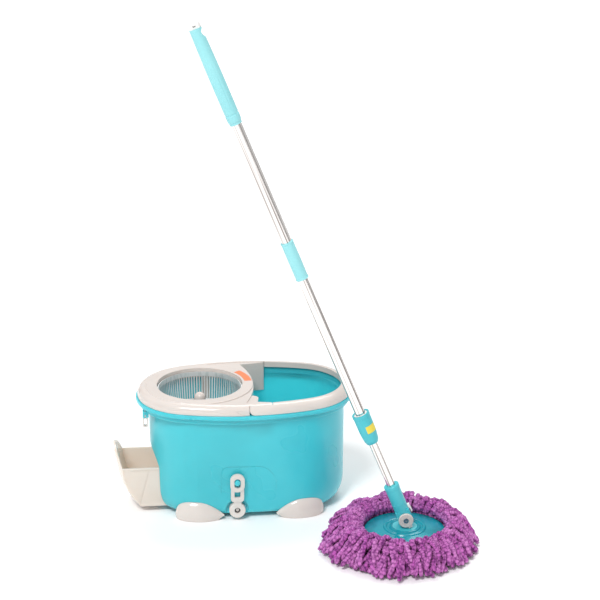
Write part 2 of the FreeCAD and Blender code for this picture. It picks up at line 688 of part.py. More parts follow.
def make_grip():
    """Long grip: a ring and groove above its foot, shallow flutes, and a thumb scoop in its neck."""
    low, high = GRIP_LOW, CAP_LOW
    stem_r, stem = CAP_STEM
    bore = OUTER_TUBE_R + 0.02
    grip = turned([(bore, low), (12.2, low), (12.9, low + 3), (13.3, low + 13), (12.3, low + 14),
                   (12.3, low + 15.5), (13.0, low + 17), (13.2, low + 70), (13.0, low + 110),
                   (12.3, high - 32), (11.6, high),
                   (stem_r + 0.02, high), (stem_r + 0.02, high - stem - 0.5), (0, high - stem - 0.5),
                   (0, TUBE_END + 1), (bore, TUBE_END + 1)])
    flutes = []
    for i in range(10):
        flute = rod(4.0, (0, 0, low + 24), (0, 0, high - 44))
        flute.translate(V(16.55, 0, 0))
        flute.rotate(V(0, 0, 0), Z_AXIS, 36.0 * i)
        flutes.append(flute)
    scoop = rod(11.0, (18.4, -20, high - 12), (18.4, 20, high - 12))
    return grip.cut(flutes + [scoop])


def make_connector():
    """Plain sleeve over the joint of the two tubes, with a thin rim at each end."""
    low, high = CONNECTOR
    bore = OUTER_TUBE_R
    return turned([(bore, low), (12.3, low), (12.6, low + 0.6), (12.6, low + 2.4), (11.9, low + 3.2),
                   (12.2, (low + high) / 2), (11.9, high - 3.2), (12.6, high - 2.4), (12.6, high - 0.6),
                   (12.3, high), (bore, high)])


def make_spiral_rod():
    low, high, width, thick = ROD
    steps = int((high - low) / SPIRAL_LEAD * 18)
    wires = []
    for i in range(steps + 1):
        z = low + (high - low) * i / steps
        turn = 2 * math.pi * (z - NUT_Z) / SPIRAL_LEAD
        corners = []
        for sx, sy in ((-1, -1), (1, -1), (1, 1), (-1, 1)):
            x, y = sx * width / 2, sy * thick / 2
            across = x * math.cos(turn) - y * math.sin(turn)
            corners.append(V(across, x * math.sin(turn) + y * math.cos(turn), z))
        wires.append(Part.makePolygon(corners + [corners[0]]))
    return Part.makeLoft(wires, True, True)


def make_drive_nut():
    nut = rod(6.2, (0, 0, NUT_Z - 1.5), (0, 0, NUT_Z + 1.5))
    half_w, half_t = ROD[2] / 2 + 0.5, ROD[3] / 2 + 0.75
    return nut.cut(box((-half_w, -half_t, NUT_Z - 3), (half_w, half_t, NUT_Z + 3)))


def make_lock_sleeve():
    low, high = SLEEVE
    sleeve = turned([(8.8, low), (11.5, low), (14.0, low + 6), (15.8, low + 20), (16.4, low + 30),
                     (16.6, high - 6), (17.2, high - 5.5), (17.2, high), (13.4, high), (13.4, low + 9),
                     (8.8, low + 5)])
    flutes = []
    for i in range(SLEEVE_FLUTES):
        flute = rod(1.1, (0, 0, low + 44), (0, 0, high - 8))
        flute.translate(V(17.2, 0, 0))
        flute.rotate(V(0, 0, 0), Z_AXIS, 360.0 / SLEEVE_FLUTES * i)
        flutes.append(flute)
    return sleeve.cut(flutes)


def make_label():
    low = SLEEVE[0] + 26
    band = pipe(16.95, 16.65, low, low + 15)
    wedge = Part.makeCylinder(40, 60, V(0, 0, low - 10), Z_AXIS, 75)
    wedge.rotate(V(0, 0, 0), Z_AXIS, -95)
    return band.common(wedge)


def make_sleeve_core():
    low = SLEEVE[0] + 10
    return turned([(8.6, low), (13.05, low), (13.05, SLEEVE[1] - 1), (OUTER_TUBE_R, SLEEVE[1] - 1),
                   (OUTER_TUBE_R, low + 22), (8.6, low + 22)])


def socket_barrel(grow):
    """Round upper part of the socket, filled, with its band line and top rim."""
    top = SOCKET_TOP
    outside = ((14.0, 16), (14.2, 34), (14.7, 35), (14.2, 36), (14.4, top - 8), (15.0, top - 7),
               (15.0, top - 0.8), (14.2, top))
    return turned([(0, 16)] + [(r + grow, z) for r, z in outside] + [(0, top)])


def cheek_block(grow):
    """Block that the fork's cheeks are cut from, between the barrel and the pivot."""
    reach = FORK_R + grow
    return box((-reach, -CHEEK[1], 0), (reach, CHEEK[1], 20 + grow))


def make_head_socket():
    barrel = socket_barrel(0.0).cut(rod(INNER_TUBE_R, (0, 0, 26), (0, 0, SOCKET_TOP + 1)))
    cheeks = rod(FORK_R, (0, -CHEEK[1], 0), (0, CHEEK[1], 0)).fuse(cheek_block(0.0))
    cheeks = cheeks.cut(box((-20, -CHEEK[0], -20), (20, CHEEK[0], 16)))
    socket = barrel.fuse(cheeks)
    return socket.cut(rod(3.0, (0, -20, 0), (0, 20, 0)))


def make_lock_tongue():
    """Curved tab behind the socket, on a short strut, clear of the barrel and the cheeks."""
    outer = rod(19.0, (0, -3.6, 12), (0, 3.6, 12)).cut(rod(16.4, (0, -5, 12), (0, 5, 12)))
    strip = outer.common(box((4.0, -4, 8), (20, 4, 40)))
    strut = box((13.2, -3.6, 17), (18.0, 3.6, 25))
    return strip.fuse(strut).cut(socket_barrel(TONGUE_GAP)).cut(cheek_block(TONGUE_GAP))


def make_pivot_cap(side):
    cap = rod(14.5, (0, CHEEK[1], 0), (0, CHEEK[1] + 4, 0))
    cap = cap.makeFillet(1.2, front_edge(cap, CHEEK[1] + 4))
    tab = box((-4, CHEEK[1], -17.5), (4, CHEEK[1] + 3, -10))
    tab.rotate(V(0, 0, 0), Y_AXIS, -12)
    cap = cap.fuse(tab).cut(rod(3.0, (0, 0, 0), (0, 30, 0))).cut(rod(5.2, (0, CHEEK[1] + 2.4, 0), (0, 30, 0)))
    if side < 0:
        cap = cap.mirror(V(0, 0, 0), Y_AXIS)
    return cap


def make_pivot_bolt():
    shank = rod(3.0, (0, -CHEEK[1] - 2.4, 0), (0, CHEEK[1] + 3.6, 0))
    head = rod(5.0, (0, -CHEEK[1] - 4.4, 0), (0, -CHEEK[1] - 2.4, 0))
    socket = rod(1.8, (0, -CHEEK[1] - 5, 0), (0, -CHEEK[1] - 3.2, 0))
    return shank.fuse(head).cut(socket)


def make_pivot_nut():
    low = CHEEK[1] + 2.4
    corners = []
    for i in range(7):
        angle = math.radians(60 * i)
        corners.append(V(4.6 * math.cos(angle), low, 4.6 * math.sin(angle)))
    nut = Part.Face(Part.makePolygon(corners)).extrude(V(0, 2.4, 0))
    return nut.cut(rod(3.0, (0, 0, 0), (0, 30, 0)))


# ---- Mop head: level on the floor, under the pivot ----

HEAD = (MOP_PIVOT.x, MOP_PIVOT.y)


def make_knuckle():
    x, y, z = MOP_PIVOT
    lug = rod(11.5, (x, y - 8.2, z), (x, y + 8.2, z))
    stem = box((x - 11.5, y - 8.2, 48), (x + 11.5, y + 8.2, z))
    flange = rod(24.0, (x, y, 45), (x, y, 50))
    return lug.fuse([stem, flange]).cut(rod(3.0 + RUNNING, (x, y - 20, z), (x, y + 20, z)))


def make_mop_disc():
    return turned([(24.2, 41.5), (DISC_R - 1.5, 37.5), (DISC_R, 38.6), (DISC_R, 40.6), (DISC_R - 1.5, 41.6),
                   (60, 44.4), (42, 47.0), (40.5, 49.0), (38, 49.6), (36, 49.0), (34.5, 47.6), (31.5, 48.2),
                   (30.2, 50.6), (28.6, 51.2), (27, 50.6), (26, 49.6), (24.2, 50.0)], *HEAD)


def make_strand_ring():
    return turned([(30, 32), (76, 32), (77, 33.5), (76, 37.0), (30, 39.5)], *HEAD)


def make_strands():
    return turned([(52, 0), (146, 0), (153, 5), (STRAND_R, 15), (STRAND_R - 1, 28), (149, 42), (135, 55),
                   (116, 63), (97, 63), (86, 54), (81.5, 44), (81.5, 36), (79, 31), (52, 30)], *HEAD)


PIECES = {
    "bucket_shell": make_bucket,
    "foot_front_left": lambda: make_foot(-1, -1),
    "foot_front_right": lambda: make_foot(1, -1),
    "foot_back_left": lambda: make_foot(-1, 1),
    "foot_back_right": lambda: make_foot(1, 1),
    "spinner_insert": make_insert,
    "ring_inlay": lambda: ring_inlay(0.0),
    "basket_spindle": lambda: rod(SPINDLE_R, (BASKET_X, 0, SPINDLE_Z[0]), (BASKET_X, 0, SPINDLE_Z[1])),
    "spindle_nut": lambda: pipe(9.0, SPINDLE_R, HUB_Z[0] - 6.5, HUB_Z[0], BASKET_X),
    "spindle_ring": lambda: pipe(7.2, SPINDLE_R, SPINDLE_Z[1] - 4.4, SPINDLE_Z[1] - 3.0, BASKET_X),
    "handle_pins": make_handle_pins,
    "clip_pin": lambda: rod(CLIP_PIN_R, (CLIP[0], CLIP[1] - 7.4, CLIP[2]), (CLIP[0], CLIP[1] + 7.4, CLIP[2])),
    "carry_handle": make_handle,
    "basket_wall": make_basket_wall,
    "basket_base": make_basket_base,
    "basket_post": make_basket_post,
    "post_cap": make_post_cap,
    "post_screws": make_post_screws,
    "spindle_bushes": make_bushes,
    "drawer": make_drawer,
    "drain_plug": make_plug,
    "side_clip": make_clip,
    "hang_cap": lambda: place(make_hang_cap()),
    "grip": lambda: place(make_grip()),
    "grip_collar": lambda: place(pipe(11.6, OUTER_TUBE_R, GRIP_LOW - 5, GRIP_LOW)),
    "upper_tube": lambda: place(pipe(OUTER_TUBE_R, OUTER_TUBE_R - TUBE_WALL, 584, TUBE_END)),
    "tube_connector": lambda: place(make_connector()),
    "connector_spigot": lambda: place(rod(OUTER_TUBE_R - TUBE_WALL, (0, 0, 545), (0, 0, 607))),
    "outer_tube": lambda: place(pipe(OUTER_TUBE_R, OUTER_TUBE_R - TUBE_WALL, SLEEVE[0] + 32, 568)),
    "sleeve_core": lambda: place(make_sleeve_core()),
    "spiral_rod": lambda: place(make_spiral_rod()),
    "rod_anchor": lambda: place(rod(OUTER_TUBE_R - TUBE_WALL, (0, 0, ROD[1]), (0, 0, ROD[1] + 16))),
    "lock_sleeve": lambda: place(make_lock_sleeve()),
    "sleeve_label": lambda: place(make_label()),
    "guide_bush": lambda: place(pipe(8.93, INNER_TUBE_R + RUNNING, 292, 322)),
    "drive_nut": lambda: place(make_drive_nut()),
    "inner_tube": lambda: place(pipe(INNER_TUBE_R, INNER_TUBE_R - TUBE_WALL, 26, 325)),
    "clutch_cup": lambda: place(pipe(INNER_TUBE_R - TUBE_WALL, 6.6, 314, 325).fuse(
        pipe(INNER_TUBE_R - TUBE_WALL, 4.3, 312, 316))),
    "head_socket": lambda: place(make_head_socket()),
    "lock_tongue": lambda: place(make_lock_tongue()),
    "pivot_cap_front": lambda: place(make_pivot_cap(-1)),
    "pivot_cap_back": lambda: place(make_pivot_cap(1)),
    "pivot_bolt": lambda: place(make_pivot_bolt()),
    "pivot_nut": lambda: place(make_pivot_nut()),
    "hub_knuckle": make_knuckle,
    "mop_disc": make_mop_disc,
    "strand_ring": make_strand_ring,
    "mop_strands": make_strands,
}

low = V(1e9, 1e9, 1e9)
high = V(-1e9, -1e9, -1e9)
for name, make in PIECES.items():
    shape = make()
    solids = shape.Solids
    state = "ok" if shape.isValid() and solids else "BAD"
    bounds = shape.optimalBoundingBox(False)
    low = V(min(low.x, bounds.XMin), min(low.y, bounds.YMin), min(low.z, bounds.ZMin))
    high = V(max(high.x, bounds.XMax), max(high.y, bounds.YMax), max(high.z, bounds.ZMax))
    print(f"{name}: {len(solids)} solid(s), {shape.Volume / 1000:.2f} cm3, {state}")
    write(name, shape)
print("set box", low, high, "centre", (low.x + high.x) / 2, (low.y + high.y) / 2)
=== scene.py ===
import bpy
import json
import math
import random
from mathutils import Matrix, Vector


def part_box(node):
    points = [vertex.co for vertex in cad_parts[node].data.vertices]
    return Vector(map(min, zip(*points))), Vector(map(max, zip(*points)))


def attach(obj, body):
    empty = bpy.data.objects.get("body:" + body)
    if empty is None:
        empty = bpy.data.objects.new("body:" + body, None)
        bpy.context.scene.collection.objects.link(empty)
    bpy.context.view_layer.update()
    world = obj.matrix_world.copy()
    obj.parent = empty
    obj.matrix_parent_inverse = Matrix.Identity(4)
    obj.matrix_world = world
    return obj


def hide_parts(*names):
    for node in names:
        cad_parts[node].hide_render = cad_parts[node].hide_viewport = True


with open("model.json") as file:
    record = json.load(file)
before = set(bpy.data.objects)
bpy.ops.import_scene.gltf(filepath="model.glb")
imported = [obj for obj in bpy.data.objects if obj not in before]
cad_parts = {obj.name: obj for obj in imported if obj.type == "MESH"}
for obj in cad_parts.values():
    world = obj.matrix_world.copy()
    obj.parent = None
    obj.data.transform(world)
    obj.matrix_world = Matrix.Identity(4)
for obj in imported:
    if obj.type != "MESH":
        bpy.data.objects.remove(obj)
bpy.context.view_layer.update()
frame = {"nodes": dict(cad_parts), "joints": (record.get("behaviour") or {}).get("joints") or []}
nodes = frame["nodes"]
joints = {joint["name"]: joint for joint in frame["joints"]}
random.seed(11)


# ---------------------------------------------------------------- studio
# White paper floor under an even white sky, with a broad key light from the front left and a
# weaker one from behind. Dark cards round the set give the polished steel something to reflect.
shell_low, shell_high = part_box("bucket_shell")
BUCKET = Vector(((shell_low.x + shell_high.x) / 2, (shell_low.y + shell_high.y) / 2, 0.0))
AIM_RIGHT, AIM_HEIGHT = 0.114, 0.429
AIM = BUCKET + Vector((AIM_RIGHT, 0.0, AIM_HEIGHT))
CAMERA_AZIMUTH, CAMERA_ELEVATION, CAMERA_DISTANCE = -5.42, 19.26, 3.844
SENSOR_MM, LENS_MM = 36.0, 114.55
PAPER_MOTTLE_MM = 300.0


def linear(hex_code):
    """sRGB hex colour as the linear colour that a shader takes."""
    channels = [int(hex_code[i:i + 2], 16) / 255 for i in (1, 3, 5)]
    straight = [c / 12.92 if c <= 0.04045 else ((c + 0.055) / 1.055) ** 2.4 for c in channels]
    return (*straight, 1.0)


def new_material(name):
    """Empty node material."""
    material = bpy.data.materials.new(name)
    material.use_nodes = True
    material.node_tree.nodes.clear()
    return material


def add_node(material, kind, settings=None, links=None):
    """Adds a shader node. Settings name sockets, by name or number, or attributes; "stops" are the
    places and hex colours of a ramp. Links give sockets another node's output."""
    node = material.node_tree.nodes.new(kind)
    for key, value in (settings or {}).items():
        if key == "stops":
            for stop, (position, colour) in zip(node.color_ramp.elements, value):
                stop.position = position
                stop.color = linear(colour)
        elif isinstance(key, int) or key in node.inputs.keys():
            node.inputs[key].default_value = value
        else:
            setattr(node, key, value)
    for key, (source, output) in (links or {}).items():
        material.node_tree.links.new(source.outputs[output], node.inputs[key])
    return node


def matt_paper(name, dark, light):
    """Uncoated paper: no shine, and a faint unevenness some 300 mm wide."""
    material = new_material(name)
    place = add_node(material, "ShaderNodeTexCoord")
    mottle = add_node(material, "ShaderNodeTexNoise", {"Scale": 1000.0 / PAPER_MOTTLE_MM},
                      {"Vector": (place, "Object")})
    tone = add_node(material, "ShaderNodeValToRGB", {"stops": ((0.3, dark), (0.7, light))},
                    {"Fac": (mottle, "Fac")})
    paper = add_node(material, "ShaderNodeBsdfPrincipled",
                     {"Roughness": 0.95, "Specular IOR Level": 0.1},
                     {"Base Color": (tone, "Color")})
    add_node(material, "ShaderNodeOutputMaterial", links={"Surface": (paper, "BSDF")})
    return material


bpy.ops.object.select_all(action="DESELECT")
FLOOR_SIZE, FLOOR_GAP = 40.0, 0.0005
bpy.ops.mesh.primitive_plane_add(size=FLOOR_SIZE, location=(0, 0, -FLOOR_GAP))
floor = bpy.context.object
floor.name = "floor_paper"
floor.data.materials.append(matt_paper("white_paper", "#fbfbfb", "#ffffff"))

# The cards are seen only in reflections: they hide nothing and throw no shade
card_paper = matt_paper("black_paper", "#2e2a28", "#353130")
CARD_DISTANCE, CARD_HEIGHT = 3.4, 3.0
for card_azimuth, card_width in ((-148, 0.8), (-72, 0.55), (70, 0.5), (146, 0.9)):
    turn = math.radians(card_azimuth)
    spot = BUCKET + Vector((math.sin(turn), -math.cos(turn), 0)) * CARD_DISTANCE
    bpy.ops.mesh.primitive_plane_add(size=1.0, location=spot + Vector((0, 0, CARD_HEIGHT / 2)),
                                     rotation=(math.pi / 2, 0, turn))
    card = bpy.context.object
    card.name = f"reflector_card_{card_azimuth + 180}"
    card.scale = (card_width, CARD_HEIGHT, 1.0)
    card.data.materials.append(card_paper)
    card.visible_camera = card.visible_shadow = card.visible_diffuse = False

azimuth, elevation = math.radians(CAMERA_AZIMUTH), math.radians(CAMERA_ELEVATION)
away = Vector((math.sin(azimuth) * math.cos(elevation), -math.cos(azimuth) * math.cos(elevation),
               math.sin(elevation)))
bpy.ops.object.camera_add(location=AIM + away * CAMERA_DISTANCE)
camera = bpy.context.object
camera.rotation_euler = (-away).to_track_quat("-Z", "Y").to_euler()
camera.data.sensor_width = SENSOR_MM
camera.data.lens = LENS_MM
bpy.context.scene.camera = camera

# Name, azimuth, elevation, strength and angular width of each light
for name, light_azimuth, light_elevation, strength, width in (
    ("key_light", -30, 52, 1.9, 16),
    ("back_light", 165, 55, 1.0, 30),
):
    tilt = math.radians(90 - light_elevation)
    bpy.ops.object.light_add(type="SUN", rotation=(tilt, 0, math.radians(light_azimuth)))
    light = bpy.context.object
    light.name = name
    light.data.energy = strength
    light.data.angle = math.radians(width)

SKY_STRENGTH = 0.58
world = bpy.data.worlds.new("white_sky")
bpy.context.scene.world = world
world.use_nodes = True
world.node_tree.nodes["Background"].inputs["Color"].default_value = (1.0, 1.0, 1.0, 1.0)
world.node_tree.nodes["Background"].inputs["Strength"].default_value = SKY_STRENGTH
bpy.context.scene.view_settings.view_transform = "Standard"


# ---------------------------------------------------------------- bucket
# One injection moulding in turquoise polypropylene: oval tub, two beads under the rim, pocket for
# the drawer, seat for the drain plug. The plastic is waxy, softly glossy and a little translucent.
PLASTIC_IOR = 1.49
FLOW_CLOUD_MM, GRAIN_HEIGHT = 110.0, 0.0002


def moulded_plastic(name, dark, light, roughness, grain_mm, grain_depth=0.08,
                    glow=0.0, glow_depth=0.003, glow_reach=(1.0, 0.85, 0.75)):
    """Injection moulding: even colour with faint flow clouds, and a fine spark-eroded grain,
    which is drawn coarser than it is so that it shows."""
    material = new_material(name)
    place = add_node(material, "ShaderNodeTexCoord")
    clouds = add_node(material, "ShaderNodeTexNoise",
                      {"Scale": 1000.0 / FLOW_CLOUD_MM, "Detail": 2.0},
                      {"Vector": (place, "Object")})
    tone = add_node(material, "ShaderNodeValToRGB", {"stops": ((0.3, dark), (0.7, light))},
                    {"Fac": (clouds, "Fac")})
    grit = add_node(material, "ShaderNodeTexNoise", {"Scale": 1000.0 / grain_mm, "Detail": 1.0},
                    {"Vector": (place, "Object")})
    bump = add_node(material, "ShaderNodeBump",
                    {"Strength": grain_depth, "Distance": GRAIN_HEIGHT},
                    {"Height": (grit, "Fac")})
    polish = add_node(material, "ShaderNodeMapRange",
                      {"To Min": roughness - 0.04, "To Max": roughness + 0.05},
                      {"Value": (clouds, "Fac")})
    plastic = add_node(material, "ShaderNodeBsdfPrincipled",
                       {"IOR": PLASTIC_IOR, "Subsurface Weight": glow,
                        "Subsurface Scale": glow_depth, "Subsurface Radius": glow_reach},
                       {"Base Color": (tone, "Color"), "Roughness": (polish, "Result"),
                        "Normal": (bump, "Normal")})
    add_node(material, "ShaderNodeOutputMaterial", links={"Surface": (plastic, "BSDF")})
    return material


def paint(material, slot, *names):
    """Gives CAD nodes their material. The slot argument is not used."""
    for name in names:
        nodes[name].data.materials.clear()
        nodes[name].data.materials.append(material)


# Polypropylene: satin, glowing a little where light enters its wall
turquoise = moulded_plastic("polypropylene_turquoise", "#42bfcc", "#4ac7d4", 0.28, 2.0, 0.10,
                            glow=0.8, glow_depth=0.012, glow_reach=(0.6, 1.0, 1.0))
paint(turquoise, "bucket_plastic", "bucket_shell")


# ---------------------------------------------------------------- feet, spinner insert and handle
# Cream ABS mouldings, harder and glossier than the tub: four pods glued under its corners, the
# flange with its spinner ring clipped over the rim, and the carry handle on two pins.
gloss_cream = moulded_plastic("abs_cream", "#d6cdc7", "#dcd3cd", 0.15, 3.0, 0.04,
                              glow=0.4, glow_depth=0.004)
paint(gloss_cream, "cream_plastic", "foot_front_left", "foot_front_right", "foot_back_left",
      "foot_back_right", "spinner_insert", "carry_handle")

# Printed vinyl film let into the ring: plain orange, flatter in shine than the plastic round it
orange_film = moulded_plastic("vinyl_film_orange", "#ee7f4c", "#f2895a", 0.40, 4.0)
paint(orange_film, "orange_label", "ring_inlay")


# ---------------------------------------------------------------- drawer, drain plug and side clip
# The soap drawer and the clip are cream ABS as well. The plug and its strap are one moulding in
# soft PVC, with a black rubber sealing ring inside the plug's disc.

# Thin-wall ABS: more light comes through the drawer's wall, and its colour is painted warmer and
# paler than the other cream ABS as painted light
thin_cream_painted_light = moulded_plastic("abs_cream_thin_wall_painted_light", "#e0cfc3", "#e6d6cb", 0.22, 3.0, 0.04,
                             glow=0.8, glow_depth=0.010)
paint(thin_cream_painted_light, "cream_plastic", "drawer")
paint(gloss_cream, "cream_plastic", "side_clip")

# Soft PVC: duller than ABS, with a finer grain
soft_cream = moulded_plastic("soft_pvc_cream", "#d8d1cb", "#ded7d1", 0.45, 1.6, 0.12, glow=0.05)
paint(soft_cream, "soft_cream", "drain_plug")

RUBBER_BLOOM_MM = 6.0


def black_rubber():
    """Moulded nitrile rubber: near black, dull, with a bloom in faint clouds."""
    material = new_material("nitrile_rubber")
    place = add_node(material, "ShaderNodeTexCoord")
    bloom = add_node(material, "ShaderNodeTexNoise", {"Scale": 1000.0 / RUBBER_BLOOM_MM},
                     {"Vector": (place, "Object")})
    tone = add_node(material, "ShaderNodeValToRGB",
                    {"stops": ((0.3, "#1c1b1b"), (0.7, "#2b2a2a"))}, {"Fac": (bloom, "Fac")})
    rubber = add_node(material, "ShaderNodeBsdfPrincipled", {"Roughness": 0.6, "IOR": 1.52},
                      {"Base Color": (tone, "Color")})
    add_node(material, "ShaderNodeOutputMaterial", links={"Surface": (rubber, "BSDF")})
    return material


plug_low, plug_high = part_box("drain_plug")
SEAL_R, SEAL_WIRE_R = 0.0048, 0.0014
DRAIN_FACE, DRAIN_HEIGHT, RECESS_DEPTH = 0.1135, 0.022, 0.0085
seal_spot = Vector(((plug_low.x + plug_high.x) / 2,
                    BUCKET.y - DRAIN_FACE + RECESS_DEPTH * 0.5, DRAIN_HEIGHT))
bpy.ops.object.select_all(action="DESELECT")
bpy.ops.mesh.primitive_torus_add(major_radius=SEAL_R, minor_radius=SEAL_WIRE_R,
                                 major_segments=40, minor_segments=12,
                                 location=seal_spot, rotation=(math.pi / 2, 0, 0))
seal = bpy.context.object
seal.name = "drain_seal_ring"
bpy.ops.object.transform_apply(location=True, rotation=True, scale=True)
bpy.ops.object.shade_smooth()
seal.data.materials.append(black_rubber())
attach(seal, "drain_plug")


# ---------------------------------------------------------------- spin basket
# Pressed stainless sheet, slotted and rolled over at the top, on a cream post that turns on the
# steel spindle. Rolling leaves faint lines and a soft, bright shine.
def stainless(name, dark, light, roughness, line_mm, stretch=1.0, lean=0.0):
    """Steel, metallic with the default IOR: its tone and polish vary in lines along its axis."""
    material = new_material(name)
    place = add_node(material, "ShaderNodeTexCoord")
    along = add_node(material, "ShaderNodeMapping",
                     {"vector_type": "TEXTURE", "Rotation": (0.0, -lean, 0.0),
                      "Scale": (1.0, 1.0, stretch)},
                     {"Vector": (place, "Object")})
    lines = add_node(material, "ShaderNodeTexNoise", {"Scale": 1000.0 / line_mm, "Detail": 1.0},
                     {"Vector": (along, "Vector")})
    tone = add_node(material, "ShaderNodeValToRGB", {"stops": ((0.37, dark), (0.50, light))},
                    {"Fac": (lines, "Fac")})
    polish = add_node(material, "ShaderNodeMapRange",
                      {"To Min": roughness - 0.04, "To Max": roughness + 0.08},
                      {"Value": (lines, "Fac")})
    metal = add_node(material, "ShaderNodeBsdfPrincipled", {"Metallic": 1.0},
                     {"Base Color": (tone, "Color"), "Roughness": (polish, "Result")})
    add_node(material, "ShaderNodeOutputMaterial", links={"Surface": (metal, "BSDF")})
    return material


# Rolled sheet: the lines are finer on the real one, and 6 mm apart here so that they show
rolled_sheet = stainless("stainless_sheet_rolled", "#e9eded", "#f8fafa", 0.44, 6.0, stretch=6.0)
paint(rolled_sheet, "basket_steel", "basket_wall", "basket_base")
paint(gloss_cream, "cream_plastic", "basket_post", "post_cap")

# Zinc plate on the small turned parts: greyer than stainless, in faint patches
plated = stainless("steel_zinc_plated", "#b4b5b8", "#c6c7c9", 0.32, 3.0)
paint(plated, "steel", "basket_spindle", "spindle_nut", "spindle_ring", "handle_pins", "clip_pin",
      "post_screws", "spiral_rod", "pivot_bolt", "pivot_nut")


# ---------------------------------------------------------------- inner mouldings
# Bushes, drive nut, clutch and plugs, which run on steel and on each other, with the hanging cap.
# They are white acetal, a hard slippery plastic with a waxy look.
acetal = moulded_plastic("acetal_white", "#ecebe9", "#f2f1ef", 0.35, 2.0, 0.05, glow=0.05)
paint(acetal, "white_plastic", "spindle_bushes", "hang_cap", "connector_spigot", "sleeve_core",
      "rod_anchor", "guide_bush", "drive_nut", "clutch_cup", "lock_tongue", "strand_ring")


# ---------------------------------------------------------------- pole
# Three thin-wall stainless tubes, drawn and polished, so that the room shows as lines along them,
# with painted reflection lines added.
# Mouldings in two shades of aqua close and join them: grip, tube joint, sleeve and head socket.
pole_axis = Vector(joints["head_spin"]["axis"])
POLE_LEAN = math.atan2(-pole_axis.x, pole_axis.z)

# Painted reflection lines: dark and pale lines along the whole tube, some 4 mm apart, painted into
# its colour and polish
tube_painted_reflections = stainless("stainless_tube_painted_reflections", "#8a817d", "#f6f1ee", 0.14, 3.6,
                       stretch=150.0, lean=POLE_LEAN)
paint(tube_painted_reflections, "tube_steel", "upper_tube", "outer_tube", "inner_tube")

# Grip and tube joint: pale aqua polypropylene, matt from a fine etched mould
pale_aqua = moulded_plastic("polypropylene_pale_aqua", "#93d8de", "#9de0e5", 0.42, 1.6, 0.15,
                            glow=0.05)
paint(pale_aqua, "pale_aqua", "grip", "grip_collar", "tube_connector")

# Locking sleeve, head socket and knuckle: ABS in a stronger aqua, with a soft shine
aqua = moulded_plastic("abs_aqua", "#42b6c1", "#4bbfca", 0.32, 2.0, 0.06, glow=0.03)
paint(aqua, "aqua_plastic", "lock_sleeve", "head_socket", "hub_knuckle")
paint(gloss_cream, "cream_plastic", "pivot_cap_front", "pivot_cap_back")

# Printed vinyl film on the sleeve: plain yellow
yellow_film = moulded_plastic("vinyl_film_yellow", "#e2cc3e", "#ecd850", 0.40, 4.0)
paint(yellow_film, "yellow_label", "sleeve_label")


# ---------------------------------------------------------------- mop disc
# Round holder moulded in clear teal polystyrene, domed, with two raised rings. Its colour is
# painted
# darker towards its edge in patches: painted shade, with the strands behind it painted on as seen
# through.
HEAD = Vector(joints["head_tilt"]["pos_m"])
disc_low, disc_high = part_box("mop_disc")
DISC_R = (disc_high.x - disc_low.x) / 2
FLAT = 1000.0  # so tall that height plays no part in the distance from the axis
SHADE_PATCH_MM, SHADE_PATCH_SHARE = 34.0, 1.1


def teal_with_painted_edge_shade():
    """Tinted polystyrene, IOR 1.59: hard gloss, with painted shade deepening the colour in patches
    towards the edge.
    """
    material = new_material("polystyrene_teal_painted_shade")
    place = add_node(material, "ShaderNodeTexCoord")
    centred = add_node(material, "ShaderNodeMapping",
                       {"vector_type": "TEXTURE", "Location": (HEAD.x, HEAD.y, 0.0),
                        "Scale": (DISC_R, DISC_R, FLAT)},
                       {"Vector": (place, "Object")})
    # Painted shade: darker towards the edge and in patches, with the strands painted on as if seen
    # through
    radius = add_node(material, "ShaderNodeTexGradient", {"gradient_type": "SPHERICAL"},
                      {"Vector": (centred, "Vector")})
    patches = add_node(material, "ShaderNodeTexNoise",
                       {"Scale": 1000.0 / SHADE_PATCH_MM, "Detail": 3.0},
                       {"Vector": (place, "Object")})
    mixed = add_node(material, "ShaderNodeMath", {"operation": "MULTIPLY_ADD", 1: SHADE_PATCH_SHARE},
                     {0: (patches, "Fac"), 2: (radius, "Fac")})
    tone = add_node(material, "ShaderNodeValToRGB",
                    {"stops": ((0.52, "#056e7c"), (0.9, "#0b93a3"))}, {"Fac": (mixed, "Value")})
    plastic = add_node(material, "ShaderNodeBsdfPrincipled",
                       {"Roughness": 0.22, "IOR": 1.59, "Specular IOR Level": 0.32},
                       {"Base Color": (tone, "Color")})
    add_node(material, "ShaderNodeOutputMaterial", links={"Surface": (plastic, "BSDF")})
    return material


paint(teal_with_painted_edge_shade(), "teal_disc", "mop_disc")


# ---------------------------------------------------------------- chenille strands
# Some four hundred microfibre noodles, sewn in rows under the disc's edge, that lie outwards to
# the floor. Each is a soft thread with knobs along it, cut off blunt, and no two lie alike.
STRAND_SIDES, STRAND_CUTS, STRAND_R = 6, 11, 0.0046
KNOB_WIDE, KNOB_NARROW, BLUNT_END = 1.12, 0.82, 0.66
TUFT_LONG, TUFT_WIDE = 0.006, 0.0075
FIBRES_PER_TUFT, FIBRE_SHARE, PILE_DEPTH = 3.0, 0.3, 0.0025
LOOK_AHEAD = 0.02


